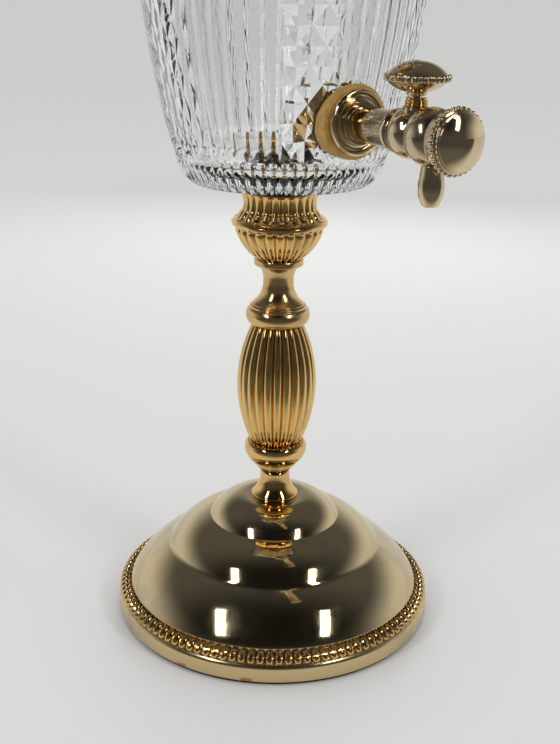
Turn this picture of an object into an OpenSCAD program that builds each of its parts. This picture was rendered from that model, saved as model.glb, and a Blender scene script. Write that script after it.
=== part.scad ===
// Absinthe fountain: a cut-glass bowl with a lid on a gold-plated stand, and one screw-down tap.
// Millimetres, +Z up. The origin is on the table, on the stand's axis. The tap points along -Y.

/* [Stand] */
// Diameter of the base
base_dia = 140; // [128:1:160]
// Height of the base's top, where the stem stands
dome_top = 53; // [47:1:62]
// Largest diameter of the ribbed barrel
barrel_dia = 34; // [30:0.5:38]
// Height of the ribbed barrel
barrel_len = 53; // [46:1:64]
// Ribs round the barrel, and lobes round the collar above it
ribs = 24; // [18:2:26]
// Beads round the base's border
base_beads = 112; // [88:4:112]

/* [Bowl] */
// Outside diameter of the bowl at its rim
bowl_dia = 114; // [108:1:122]
// Height of the bowl
bowl_len = 141; // [128:1:160]
// Thickness of the bowl's wall
wall = 6; // [5:0.5:7]
// Diamond-cut panels round the bowl
panels = 5; // [4:1:5]
// Flutes between two panels
panel_flutes = 7; // [4:1:7]

/* [Tap] */
// Height of the tap's axis above the underside of the bowl
tap_rise = 31.4; // [29:0.2:40]
// Distance from the stand's axis to the spout
spout_reach = 96.5; // [92:0.5:110]
// Diameter of the knob and of the end cap, over their beads
knob_dia = 23; // [21:0.2:25]
// Lift of the valve from shut to fully open
valve_lift = 1.5; // [1.2:0.1:1.8]

/* [Lid] */
// Height of the lid's dome above the bowl's rim
lid_rise = 30; // [26:1:36]
// Height of the finial
finial_len = 42; // [36:1:48]

/* [Hidden] */
$fn = 96;

// Colours of the plated metal, the glass and the soft pieces
gold = [0.79, 0.63, 0.31];
pale_gold = [0.72, 0.64, 0.45];
steel = [0.62, 0.62, 0.60];
glass = [0.86, 0.91, 0.92, 0.45];
rubber = [0.10, 0.10, 0.10];
felt = [0.13, 0.12, 0.10];

// Radial clearance of a shaft that turns, and of a piece that is only slipped on
run = 0.05;
slip = 0.05;

// Heights at which one piece of the stack stands on the next
z_plinth = 1.5;
z_band = 9.5;
z_skirt = 14.2;
z_cup = dome_top + 14.5;
z_barrel = z_cup + 12;
z_ring = z_barrel + barrel_len;
z_neck = z_ring + 9;
z_flange = z_neck + 16.5;
z_bulb = z_flange + 3.4;
z_crown = z_bulb + 16.6;
z_gasket = z_crown + 11.5;
z_bowl = z_gasket + 1.5;
z_rim = z_bowl + bowl_len;

// Base: the dome's three tiers meet in two creases
rb = base_dia / 2;
skirt_r = rb - 5.2;
crease_1 = [rb * 0.666, z_skirt + (dome_top - z_skirt) * 0.451];
crease_2 = [rb * 0.409, z_skirt + (dome_top - z_skirt) * 0.776];
dome_sheet = 1.8;
rod_r = 3;
rod_bore = rod_r + slip;
rod_end = 3.6;

// Bowl: the wall is an arc that is upright at the shoulder, and its corner ends in the underside's edge
bowl_r = bowl_dia / 2;
shoulder = 109;
curve_r = 324;
cx = bowl_r - curve_r;
corner_z = 12.4;
edge = [bowl_r - 20.4, 2.8];
seat_r = 18;
floor_t = 9;
pitch = 360 / (panels * (panel_flutes + 3));
panel_turn = -20.2;
flute_d = 0.9;
flute_w = 0.93 * 43.8 * (bowl_r / 57) * pitch * PI / 180;
flute_r = (flute_w * flute_w / 4 + flute_d * flute_d) / (2 * flute_d);

// Tap: distances along its axis are from the stand's axis, heights are from the table
z_tap = z_bowl + tap_rise;
spout = spout_reach;
spindle_at = spout - 10.5;
flange_r = 12;
seal_r = 13.6;
flange_at = cx + sqrt(pow(curve_r, 2) - pow(shoulder - tap_rise - seal_r, 2)) + 0.6;
hub_at = flange_at + 4.4;
seal_at = cx + sqrt(pow(curve_r - wall, 2) - pow(shoulder - tap_rise + 11, 2)) - 0.8;
nut_at = seal_at - 7.2;
shank_end = nut_at - 1.9;
shank_r = 6;
z_seat = z_tap + 3.2;
z_spigot = z_seat + 2.2 + valve_lift;
z_boss = z_spigot + 1.6;
z_packing = z_boss + valve_lift + 0.6;
z_knob = z_packing + 2.1;
cap_at = spout + 5.5;
kr = knob_dia / 2;
small_beads = 32;
bead_w = knob_dia / 12;

// Lid
z_lid = z_rim + 1.2;
z_top = z_rim + lid_rise;
lid_r = bowl_r + 1.5;
lid_sheet = 1.4;
lid_beads = 96;

// Circular segment on the chord a to b, on the right-hand side of the way from a to b
module segment(a, b, s) {
  c = norm(b - a);
  n = [b[1] - a[1], a[0] - b[0]] / c;
  rad = (c * c / 4 + s * s) / (2 * s);
  intersection() {
    translate((a + b) / 2 - n * (rad - s)) circle(r = rad);
    polygon([a, b, b + n * 2 * s, a + n * 2 * s]);
  }
}

// Points along the arc over the chord a to b, in n equal steps
function arc_points(a, b, s, n) =
  let (c = norm(b - a), rad = (c * c / 4 + s * s) / (2 * s), d = (b - a) / c)
  let (mid = (a + b) / 2 - [d[1], -d[0]] * (rad - s), base = atan2(-d[0], d[1]), half = asin(c / 2 / rad))
  [for (k = [0:n]) mid + rad * [cos(base + half * (2 * k / n - 1)), sin(base + half * (2 * k / n - 1))]];

// Half section of a turned piece, from the bottom up. Each point is [radius, height, sag], and sag
// bows the edge to the next point: outwards if it is positive, inwards if it is negative.
module section(pts) {
  n = len(pts);
  xy = [for (p = pts) [p[0], p[1]]];
  sag = [for (p = pts) len(p) > 2 ? p[2] : 0];
  tip = xy[n - 1][0] > 0 ? [[0, xy[n - 1][1]]] : [];
  difference() {
    union() {
      polygon(concat([[0, xy[0][1]]], xy, tip));
      for (i = [0:n - 2])
        if (sag[i] > 0) segment(xy[i], xy[i + 1], sag[i]);
    }
    for (i = [0:n - 2])
      if (sag[i] < 0) segment(xy[i + 1], xy[i], -sag[i]);
  }
}

// Turned piece with a bore right through it
module turned(pts, bore = 0) {
  rotate_extrude() difference() {
    section(pts);
    if (bore > 0) translate([0, -500]) square([bore, 1000]);
  }
}

// Flat ring
module ring(inner, outer, h) {
  rotate_extrude() translate([inner, 0]) square([outer - inner, h]);
}

// Long bead, pointed at both ends
module bead(l, w) {
  rad = (l * l / 4 + w * w / 4) / w;
  rotate_extrude() intersection() {
    translate([w / 2 - rad, 0]) circle(r = rad);
    translate([0, -l]) square([w, 2 * l]);
  }
}

// Short bead with round ends
module pearl(l, w) {
  up = (l - w) / 2;
  rotate_extrude() intersection() {
    union() {
      translate([0, -up]) square([w / 2, 2 * up]);
      for (z = [-up, up]) translate([0, z]) circle(r = w / 2);
    }
    translate([0, -l]) square([w, 2 * l]);
  }
}

// Ring of n beads whose middles lie at radius r, each leaning inwards by lean degrees
module bead_ring(n, r, lean = 0) {
  for (i = [0:n - 1])
    rotate([0, 0, i * 360 / n]) translate([r, 0, 0]) rotate([0, -lean, 0]) children();
}

// Round bar bent to an arc about the point [x, z], from angle from_a up to to_a
module bent_bar(x, z, rad, bar, from_a, to_a) {
  translate([x, 0, z]) rotate([90, 0, 0]) rotate([0, 0, from_a])
    rotate_extrude(angle = to_a - from_a) translate([rad, 0]) circle(r = bar);
}

// Places a piece that is drawn along +Z on the tap's axis
module on_tap() {
  translate([0, 0, z_tap]) rotate([90, 0, 0]) children();
}

// Half section of the bowl's outside: a flat seat, the underside rising to its edge, the corner and the
// wall, which is drawn out by more. The curves are drawn in short straight steps.
module outside(more = 0) {
  rad = curve_r + more;
  low = -asin((shoulder - corner_z) / rad);
  foot = [cx, shoulder] + rad * [cos(low), sin(low)];
  rise = [for (k = [1:6]) low * (1 - k / 6)];
  polygon(concat([[0, 0], [seat_r, 0]], arc_points(edge, foot, 0.8, 5),
    [for (a = rise) [cx, shoulder] + rad * [cos(a), sin(a)]],
    [[cx + rad, bowl_len], [0, bowl_len]]));
}

// Half section of the bowl's inside, whose wall arc has radius rad, with a flat floor and a round corner.
// The corner and the wall are both drawn in short straight steps and meet at the angle low.
module inside(rad, top) {
  corner = 11;
  low = -asin((shoulder - floor_t - corner) / (rad - corner));
  mid = [cx + (rad - corner) * cos(low), floor_t + corner];
  bend = [for (k = [0:5]) -90 + (90 + low) * k / 5];
  rise = [for (k = [1:6]) low * (1 - k / 6)];
  polygon(concat([[0, floor_t]],
    [for (a = bend) mid + corner * [cos(a), sin(a)]],
    [for (a = rise) [cx, shoulder] + rad * [cos(a), sin(a)]],
    [[cx + rad, top], [0, top]]));
}

// Points of the dome's outside, or of its inside when they are drawn in and down
function dome_pts(in, down, low) = [
  [skirt_r - in, low],
  [skirt_r - in, z_skirt - down, 1.7],
  [crease_1[0], crease_1[1] - down, 2.2],
  [crease_2[0], crease_2[1] - down, 2.6],
  [12.4, dome_top - down]];

// Felt disc under the base
module base_pad() {
  color(felt) cylinder(r = rb - 1.7, h = z_plinth);
}

// Turned band that the dome stands on, rebated below for the ballast plate
module plinth_ring() {
  color(pale_gold) rotate_extrude() polygon([
    [rb - 6.95, z_plinth], [rb - 0.7, z_plinth], [rb, z_plinth + 0.7], [rb, z_band - 0.5],
    [rb - 0.5, z_band], [rb - 13, z_band], [rb - 13, 7], [rb - 6.95, 7]]);
}

// Spun dome in three tiers
module base_dome() {
  color(pale_gold) rotate_extrude() difference() {
    section(dome_pts(0, 0, z_band));
    section(dome_pts(1.4, dome_sheet, 0));
    square([rod_bore, 100]);
  }
}

// Border of long beads round the foot of the dome
module base_bead_border() {
  color(gold) {
    rotate_extrude() polygon([
      [skirt_r + slip, z_band], [rb - 0.6, z_band], [rb - 0.6, z_band + 0.4],
      [skirt_r + 0.6, z_skirt - 0.2], [skirt_r + slip, z_skirt - 0.2]]);
    translate([0, 0, z_band + 2.4]) bead_ring(base_beads, rb - 2.75, 43) bead(5.4, 3.3);
  }
}

// Iron disc that weights the base, held up against the plinth's rebate by the tie rod
module ballast_plate() {
  color(steel) rotate_extrude() polygon([
    [10.5, 3.2], [rb - 7, 3.2], [rb - 7, 7], [rb - 13.1, 7], [rb - 13.1, 15],
    [rod_bore, 15], [rod_bore, 10.2], [10.5, 10.2]]);
}

// Washer and nut under the ballast plate
module rod_washer() {
  color(steel) translate([0, 0, 9.2]) ring(rod_bore, 9, 1);
}

module rod_nut() {
  color(steel) translate([0, 0, 4.2]) difference() {
    cylinder(r = 5.77, h = 5, $fn = 6);
    translate([0, 0, -1]) cylinder(r = rod_bore, h = 7);
  }
}

// Rod through the whole stand, from the ballast plate up into the bowl
module tie_rod() {
  color(steel) translate([0, 0, rod_end]) cylinder(r = rod_r, h = z_bowl + 17 - rod_end);
}

// Waisted foot of the stem
module stem_foot() {
  color(gold) translate([0, 0, dome_top]) turned([
    [10, 0], [10.3, 0.3], [10.3, 1.3], [9.9, 1.7, -0.9],
    [6.5, 10.2], [6.5, 11.2, -0.15], [7.4, 14], [7.4, 14.5]], rod_bore);
}

// Stepped cup that the barrel stands in
module lower_cup() {
  color(gold) translate([0, 0, z_cup]) turned([
    [8.2, 0], [8.7, 0.5], [8.7, 1.3], [9.9, 1.7], [9.9, 2.6], [10.9, 3.1, 0.5],
    [13.6, 8.6], [13.6, 9.7, 0.3], [12.3, 12]], rod_bore);
}

// Barrel with rounded ribs parted by narrow grooves
module ribbed_barrel() {
  big = barrel_dia / 2;
  end = big - 6;
  rad = (pow(barrel_len / 2, 2) + 36) / 12;
  sweep = asin((barrel_len / 2 - 0.8) / rad);
  color(gold) translate([0, 0, z_barrel]) difference() {
    turned(arc_points([end, 0], [end, barrel_len], big - end, 12), rod_bore);
    for (i = [0:ribs - 1])
      rotate([0, 0, (i + 0.5) * 360 / ribs])
        bent_bar(big - rad, barrel_len / 2, rad + 0.25, 1, -sweep, sweep);
  }
}

// Round ring on top of the barrel
module barrel_ring() {
  color(gold) translate([0, 0, z_ring]) turned([
    [11, 0], [12.2, 1, 1.2], [12.7, 7.4], [12, 7.8], [12, 8.6], [11.3, 9]], rod_bore);
}

// Waisted neck
module stem_neck() {
  color(gold) translate([0, 0, z_neck]) turned([
    [11.1, 0], [11.1, 0.4, -1.3], [6.5, 9.4], [6.5, 12, -0.35], [8.5, 16.5]], rod_bore);
}

// Thin flange between the neck and the collar
module neck_flange() {
  color(gold) translate([0, 0, z_flange]) turned([
    [9.2, 0], [10.4, 0.6], [10.4, 2.8], [9.9, 3.4]], rod_bore);
}

// Lobed lower half of the collar, with a plain ridge at its top
module collar_bulb() {
  color(gold) translate([0, 0, z_bulb]) difference() {
    turned([[10, 0, 1.2], [18.5, 12.3], [19.6, 13.7], [19.9, 14.6], [19.9, 15.4], [19.1, 16.6]],
      rod_bore);
    for (i = [0:ribs - 1])
      rotate([0, 0, (i + 0.5) * 360 / ribs]) bent_bar(-3.4, 19.55, 23.9, 0.9, -54, -15.5);
  }
}

// Fluted upper half of the collar, flared to carry the bowl
module collar_crown() {
  color(gold) translate([0, 0, z_crown]) difference() {
    turned([[19.1, 0, -1.2], [15.05, 6.2, -0.35], [16.4, 11.1], [16.4, 11.5]], rod_bore);
    for (i = [0:ribs - 1])
      rotate([0, 0, i * 360 / ribs]) translate([15.35, 0, 2.8]) cylinder(r = 0.9, h = 7.6);
  }
}

// Soft ring between the collar and the glass
module bowl_seat_gasket() {
  color(rubber) translate([0, 0, z_gasket]) ring(4.6, 16, 1.5);
}

// Cut-glass bowl with a hole for the rod and a hole for the tap
module glass_bowl() {
  low = -asin((shoulder - corner_z) / curve_r) - 3;
  color(glass) translate([0, 0, z_bowl]) difference() {
    rotate_extrude() difference() {
      outside();
      inside(curve_r - wall, bowl_len + 1);
      square([4.5, 20]);
      translate([bowl_r, shoulder]) circle(r = 1.3);
    }
    difference() {
      union() {
        for (k = [0:panels - 1], i = [0:panel_flutes - 1])
          rotate([0, 0, panel_turn - 90 + k * 360 / panels + (i + 2) * pitch])
            bent_bar(cx, shoulder, curve_r + flute_r - flute_d, flute_r, low, -0.1);
      }
      translate([0, 0, tap_rise]) rotate([90, 0, 0]) cylinder(r = seal_r + 0.4, h = 80);
    }
    translate([0, 0, tap_rise]) rotate([90, 0, 0]) cylinder(r = shank_r + 0.5, h = 80);
  }
}

// Soft grommet that lines the rod's hole and seals the floor
module bowl_grommet() {
  color(rubber) translate([0, 0, z_bowl]) rotate_extrude() polygon([
    [rod_bore, 0], [4.45, 0], [4.45, floor_t], [9, floor_t], [9, floor_t + 1.5],
    [rod_bore, floor_t + 1.5]]);
}

module bowl_washer() {
  color(gold) translate([0, 0, z_bowl + floor_t + 1.5]) ring(rod_bore, 8.6, 1.2);
}

// Domed nut inside the bowl
module bowl_nut() {
  color(gold) translate([0, 0, z_bowl + floor_t + 2.7]) rotate_extrude() difference() {
    section([[6.6, 0], [7, 0.4], [7, 4.6], [6.2, 5.4, 2.4], [0, 11]]);
    square([rod_bore, 6]);
  }
}

// Soft wedges that fill the slope between the glass and the upright faces of the tap
module tap_seal_outer() {
  color(rubber) difference() {
    on_tap() translate([0, 0, seal_at]) cylinder(r = seal_r, h = flange_at - seal_at);
    translate([0, 0, z_bowl]) rotate_extrude($fn = 360) outside(0.03);
    on_tap() cylinder(r = shank_r + slip, h = 90);
  }
}

module tap_seal_inner() {
  color(rubber) intersection() {
    on_tap() translate([0, 0, seal_at]) ring(shank_r + slip, 11, 20);
    translate([0, 0, z_bowl]) rotate_extrude($fn = 360) inside(curve_r - wall - 0.08, bowl_len);
  }
}

// Dished rose plate against the bowl
module tap_flange() {
  color(gold) on_tap() translate([0, 0, flange_at]) rotate_extrude() difference() {
    union() {
      section([[flange_r, 0], [flange_r, 2.5], [flange_r - 0.4, 3.3], [flange_r - 0.9, 3.5],
        [flange_r - 1.9, 1.6], [9.2, 1.3], [9, 2.2], [8.2, 2.4], [8, 3], [7.9, 3]]);
      square([7.9, 4.4]);
    }
    square([shank_r + slip, 10]);
  }
}

// Body of the tap: shank, two lobes, the boss for the bonnet and the drilled ways
module tap_body() {
  color(gold) difference() {
    union() {
      on_tap() rotate_extrude() section(concat(
        [[shank_r, shank_end], [shank_r, hub_at], [6.5, hub_at], [6.5, spout - 21],
          [7.6, spout - 20.4], [7.6, spout - 18.9], [6.6, spout - 18.4]],
        arc_points([6.6, spout - 17.9], [7.4, spout - 7.9], 1.8, 8), [[7.1, spout - 7.4]],
        arc_points([7.6, spout - 6.9], [8.6, spout + 3.7], 1.9, 8),
        [[8, spout + 4.5], [6.8, spout + 4.5], [6.8, spout + 10]]));
      translate([0, -spindle_at, z_tap + 1]) cylinder(r = 4.6, h = z_boss - z_tap - 1);
    }
    on_tap() translate([0, 0, shank_end - 1]) cylinder(r = 2.2, h = spindle_at + 3.5 - shank_end);
    translate([0, -spindle_at, z_tap]) cylinder(r = 1.8, h = 5);
    translate([0, -spindle_at, z_seat]) cylinder(r = 3.4, h = 20);
    translate([0, -spindle_at, z_boss]) cylinder(r = 4.8, h = 6);
    translate([0, -spindle_at, z_tap + 4.7]) rotate([90, 0, 0]) cylinder(r = 1.2, h = 40);
    translate([0, -spout, z_tap - 6]) cylinder(r = 1.7, h = 11);
    translate([0, -spout, z_tap - 12]) cylinder(r = 3, h = 7);
    translate([0, -spout, z_tap - 13]) cylinder(r = 4.4, h = 4);
  }
}

// Washer and nut on the shank, inside the bowl
module shank_washer() {
  color(gold) on_tap() translate([0, 0, nut_at + 6]) ring(shank_r + slip, 10.6, 1.2);
}

module shank_nut() {
  color(gold) on_tap() translate([0, 0, nut_at]) difference() {
    cylinder(r = 10.97, h = 6, $fn = 6);
    translate([0, 0, -1]) cylinder(r = shank_r + slip, h = 8);
  }
}

// Spout, screwed up into the body
module nozzle() {
  color(gold) translate([0, -spout, z_tap]) turned([
    [2.3, -23], [2.8, -22.6], [3.4, -21.4], [3.9, -19.9], [4.2, -18], [4.2, -15.5], [3.7, -9],
    [2.95, -9], [2.95, -5.2]], 1.7);
}

// Beaded cap that closes the drilled end of the body
module end_cap() {
  color(gold) on_tap() translate([0, 0, cap_at]) {
    rotate_extrude() difference() {
      section([[8.6, 0], [9.2, 0.5], [kr - 1.2, 4.6], [kr - 0.9, 4.8], [kr - 0.9, 6.9],
        [kr - 1.3, 7.2], [kr - 1.3, 9], [kr - 1.8, 9.2], [kr - 1.8, 9.6],
        for (p = arc_points([kr - 2, 9.8], [0.6, 13], 0.8, 6)) p]);
      translate([0, -1]) square([6.8 + slip, 6]);
    }
    translate([0, 0, 5.9]) bead_ring(small_beads, kr - bead_w / 2) pearl(2.4, bead_w);
  }
}

module end_cap_seal() {
  color(rubber) on_tap() translate([0, 0, spout + 4.5]) ring(6.8 + slip, 8.2, 1);
}

// Turned bonnet that guides the spindle
module bonnet() {
  color(gold) translate([0, -spindle_at, z_boss]) rotate_extrude() difference() {
    section([[3.35, -1.6], [3.35, 0], [4.6, 0], [4.6, 0.5], [3.7, 0.8], [4, 1], [4, 1.5], [3.6, 1.8],
      [3.9, 2], [3.9, 2.5], [3.5, 2.8], [3.5, z_packing + 1.5 - z_boss], [3.3, z_packing + 1.7 - z_boss]]);
    translate([0, -3]) square([2.65, z_packing + 3.9 - z_boss]);
    square([1.6 + run, 10]);
  }
}

// Packing round the spindle, above the bonnet's thread
module bonnet_packing() {
  color(rubber) translate([0, -spindle_at, z_packing]) ring(1.6 + run, 2.6, 0.9);
}

// Spindle: a plain stem, the threaded length and a hollow foot
module spindle() {
  color(steel) translate([0, -spindle_at, 0]) rotate_extrude() difference() {
    union() {
      translate([0, z_seat + 2.05]) square([2, 2]);
      translate([0, z_spigot + 0.1]) square([2.65 - run, 2]);
      translate([0, z_spigot + 0.1]) square([1.6, z_knob + 4.9 - z_spigot]);
    }
    square([1 + run, z_seat + 5.8]);
  }
}

// Beaded knob, cored from below to keep it light
module knob() {
  color(gold) translate([0, -spindle_at, z_knob]) {
    rotate_extrude() difference() {
      section([[3.2, 0], [3.5, 0.3], [3.5, 1.6], for (p = arc_points([4.6, 2], [kr - 1.3, 4.7], 0.3, 3)) p,
        [kr - 0.9, 4.9], [kr - 0.9, 6.8], [kr - 1.5, 7.4],
        for (p = arc_points([kr - 1.9, 8.3], [0.6, 11.5], 0.8, 6)) p]);
      translate([0, -1]) square([1.62, 6]);
      polygon([[4.7, 0], [kr - 2.7, 0], [kr - 2.7, 7.4], [4.7, 8.7]]);
    }
    translate([0, 0, 5.8]) bead_ring(small_beads, kr - bead_w / 2) pearl(2.6, bead_w);
  }
}

// Loose jumper that carries the washer and doesn't turn with the spindle
module valve_jumper() {
  color(steel) translate([0, -spindle_at, z_seat]) {
    translate([0, 0, 0.3]) cylinder(r = 0.6, h = 1.5);
    translate([0, 0, 1.2]) cylinder(r = 2.5, h = 0.8);
    translate([0, 0, 1.5]) cylinder(r = 1, h = 4);
  }
}

module valve_washer() {
  color(rubber) translate([0, -spindle_at, z_seat]) ring(0.65, 2.6, 1.2);
}

// Soft ring between the lid and the rim
module lid_gasket() {
  color(rubber) translate([0, 0, z_rim]) ring(bowl_r - wall + 0.5, bowl_r - 0.4, 1.2);
}

// Spun lid in two tiers, with a flat flange over the rim
module lid_dome() {
  mid = lid_rise * 0.5;
  shape = [[lid_r, 1.2], [lid_r, 2.4], [lid_r - 3.5, 2.4, 2.2], [bowl_r * 0.64, mid],
    [bowl_r * 0.62, mid + 0.4, 2.6], [8, lid_rise]];
  color(pale_gold) translate([0, 0, z_rim]) rotate_extrude() difference() {
    union() {
      difference() {
        section(shape);
        translate([0, -lid_sheet]) section(shape);
      }
      translate([bowl_r - wall - 3, 1.2]) square([wall + 3, 1.2]);
    }
    square([2.1, 100]);
  }
}

// Collar that keeps the lid on the bowl
module lid_collar() {
  color(pale_gold) translate([0, 0, z_lid - 10.2]) ring(bowl_r - wall - 1.6, bowl_r - wall - 0.6, 10.2);
}

// Border of long beads round the lid
module lid_bead_border() {
  color(gold) translate([0, 0, z_rim + 2.4]) {
    rotate_extrude() polygon([
      [lid_r - 3.1, 0], [lid_r - 0.3, 0], [lid_r - 0.3, 0.4], [lid_r - 2.7, 2.7], [lid_r - 3.1, 2.7]]);
    translate([0, 0, 1.45]) bead_ring(lid_beads, lid_r - 1.85, 43) bead(3.4, 2.6);
  }
}

// Turned finial with a stud below it, and the nut that holds it
module finial() {
  k = finial_len / 42;
  color(gold) translate([0, 0, z_top]) {
    rotate_extrude() section(concat(
      [[7, 0], [7, 1.2 * k], [5.6, 2 * k], [4, 3.2 * k], [3, 5 * k], [3, 6.2 * k], [5.2, 7 * k],
        [5.2, 8.2 * k]],
      arc_points([3.4, 9.4 * k], [9.8, 19 * k], 1.3, 6),
      arc_points([9.8, 20.6 * k], [3.6, 29 * k], 1.2, 6),
      [[3.6, 30.4 * k], [4.6, 31.2 * k], [4.6, 32.4 * k]],
      arc_points([2.4, 33.6 * k], [0.4, 42 * k], 0.8, 6)));
    translate([0, 0, -6]) cylinder(r = 2, h = 7);
  }
}

module finial_nut() {
  color(steel) translate([0, 0, z_top - lid_sheet - 3.2]) difference() {
    cylinder(r = 4.04, h = 3.2, $fn = 6);
    translate([0, 0, -1]) cylinder(r = 2 + slip, h = 6);
  }
}

base_pad();
plinth_ring();
base_dome();
base_bead_border();
ballast_plate();
rod_washer();
rod_nut();
tie_rod();
stem_foot();
lower_cup();
ribbed_barrel();
barrel_ring();
stem_neck();
neck_flange();
collar_bulb();
collar_crown();
bowl_seat_gasket();
glass_bowl();
bowl_grommet();
bowl_washer();
bowl_nut();
tap_seal_outer();
tap_flange();
tap_body();
tap_seal_inner();
shank_washer();
shank_nut();
nozzle();
end_cap();
end_cap_seal();
bonnet();
bonnet_packing();
spindle();
knob();
valve_jumper();
valve_washer();
lid_gasket();
lid_dome();
lid_collar();
lid_bead_border();
finial();
finial_nut();
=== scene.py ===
# %% [markdown]
# # An absinthe fountain: cut glass on a gold-plated stand
#
# The solids come in first and stay where they are. Most visible pieces are then turned,
# beaded or cut again in finer form over those solids, with finishes made of nodes, and each new
# piece takes its sizes from the solid that it stands for.

# %% Load the frame
import math
from bisect import bisect

import bpy
from mathutils import Matrix, Vector


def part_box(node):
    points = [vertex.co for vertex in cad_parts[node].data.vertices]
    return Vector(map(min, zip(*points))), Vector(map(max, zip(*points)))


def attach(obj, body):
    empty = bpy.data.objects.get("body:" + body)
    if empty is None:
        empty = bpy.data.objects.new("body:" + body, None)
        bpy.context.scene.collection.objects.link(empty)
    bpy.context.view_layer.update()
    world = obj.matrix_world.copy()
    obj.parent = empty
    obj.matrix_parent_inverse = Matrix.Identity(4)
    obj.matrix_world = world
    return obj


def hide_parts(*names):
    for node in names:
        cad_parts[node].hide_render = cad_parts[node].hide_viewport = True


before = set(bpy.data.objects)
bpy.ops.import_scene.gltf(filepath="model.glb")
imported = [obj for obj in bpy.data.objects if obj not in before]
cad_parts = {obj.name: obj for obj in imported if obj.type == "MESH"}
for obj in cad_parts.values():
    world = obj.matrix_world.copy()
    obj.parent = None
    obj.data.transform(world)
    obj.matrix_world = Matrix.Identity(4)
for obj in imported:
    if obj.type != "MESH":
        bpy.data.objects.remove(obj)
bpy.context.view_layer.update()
scene = bpy.context.scene
MM = 0.001
TURN = math.tau
UP = Vector((0, 0, 1))
ALONG_TAP = Vector((0, -1, 0))
print("CAD nodes:", len(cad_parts))


# %% [markdown]
# ## The photograph's view
#
# The camera stands in front and to the left of the tap and looks down on the base. A lens and a
# place that were fitted to the base's rings and to the stem are written here as real sizes, and
# the small roll makes the stand lean as it does in the picture.

# %% Camera
IMAGE_SIZE = (560, 744)
FOCAL_PIXELS = 1123.9
CAMERA_PLACE = Vector((-239.3, -390.1, 271.3)) * MM
CAMERA_HEADING = math.radians(31.7)
CAMERA_PITCH = math.radians(19.34)
CAMERA_ROLL = math.radians(1.12)


def add_camera():
    """Makes the camera from its heading, pitch and roll."""
    ahead = Vector((math.sin(CAMERA_HEADING), math.cos(CAMERA_HEADING), 0)) * math.cos(CAMERA_PITCH)
    ahead -= UP * math.sin(CAMERA_PITCH)
    right = ahead.cross(UP).normalized()
    above = right.cross(ahead)
    lean_right = right * math.cos(CAMERA_ROLL) + above * math.sin(CAMERA_ROLL)
    lean_above = above * math.cos(CAMERA_ROLL) - right * math.sin(CAMERA_ROLL)
    lens = bpy.data.cameras.new("view")
    lens.sensor_fit = "VERTICAL"
    lens.sensor_height = 36
    lens.lens = FOCAL_PIXELS * lens.sensor_height / IMAGE_SIZE[1]
    lens.clip_start = 0.01
    camera = bpy.data.objects.new("view", lens)
    scene.collection.objects.link(camera)
    turn = Matrix((lean_right, lean_above, -ahead)).transposed().to_4x4()
    camera.matrix_world = Matrix.Translation(CAMERA_PLACE) @ turn
    scene.camera = camera
    return camera


camera = add_camera()
print("lens in mm:", round(camera.data.lens, 1))


# %% [markdown]
# ## Turning on the lathe
#
# Nearly every metal piece here was spun or turned, so one helper does what the lathe does. It
# drops a single vertex, extrudes it along the profile, and spins that line round the piece's own
# axis. Profiles are lists of (radius, height) in millimetres. Round stretches come from `bow`, and
# `ease` takes the sharpness off corners, because real edges catch a thin line of light.

# %% Profiles
def bow(start, end, sag, steps=10):
    """Points of the arc from start to end that swells by sag to the right of the way it goes."""
    a, b = Vector(start), Vector(end)
    chord = b - a
    side = Vector((chord.y, -chord.x)).normalized()
    radius = (chord.length_squared / 4 + sag * sag) / (2 * sag)
    middle = (a + b) / 2 - side * (radius - sag)
    first = a - middle
    sweep = -first.angle_signed(b - middle)
    return [middle + Matrix.Rotation(sweep * k / steps, 2) @ first for k in range(steps + 1)]


def hollow(start, end, sag, steps=10):
    """The same arc, drawn in to the left instead."""
    return bow(end, start, sag, steps)[::-1]


def ease(points, radius=0.3, closed=True):
    """Rounds each sharp corner of a profile with a short curve."""
    points = [Vector(p) for p in points]
    eased = []
    for i, here in enumerate(points):
        back = points[i - 1] - here
        on = points[(i + 1) % len(points)] - here
        ends = not closed and i in (0, len(points) - 1)
        reach = min(radius, 0.45 * back.length, 0.45 * on.length)
        if ends or reach < 0.01 or math.pi - back.angle(on) < math.radians(18):
            eased.append(here)
            continue
        a, b = here + back.normalized() * reach, here + on.normalized() * reach
        for t in (0, 0.25, 0.5, 0.75, 1):
            eased.append(a * (1 - t) ** 2 + here * 2 * t * (1 - t) + b * t ** 2)
    return eased


# %% Lathe
SMOOTH_ANGLE = math.radians(32)
WELD = 0.002 * MM


def draw_line(name, places):
    """Extrudes one vertex along the places, and leaves the new object in edit mode."""
    bpy.ops.object.select_all(action="DESELECT")
    bpy.ops.mesh.primitive_plane_add(size=MM)
    piece = bpy.context.object
    piece.name = piece.data.name = name
    bpy.ops.object.mode_set(mode="EDIT")
    bpy.ops.mesh.select_mode(type="VERT")
    bpy.ops.mesh.merge(type="CENTER")
    bpy.ops.transform.translate(value=places[0])
    for here, there in zip(places, places[1:]):
        bpy.ops.mesh.extrude_vertices_move(TRANSFORM_OT_translate={"value": there - here})
    bpy.ops.mesh.select_all(action="SELECT")
    return piece


def close_up(smooth=SMOOTH_ANGLE):
    """Welds the spun mesh, turns its faces outwards, and smooths it but for its real edges."""
    bpy.ops.mesh.select_all(action="SELECT")
    bpy.ops.mesh.remove_doubles(threshold=WELD)
    bpy.ops.mesh.normals_make_consistent(inside=False)
    bpy.ops.object.mode_set(mode="OBJECT")
    bpy.ops.object.shade_smooth_by_angle(angle=smooth)


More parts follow.
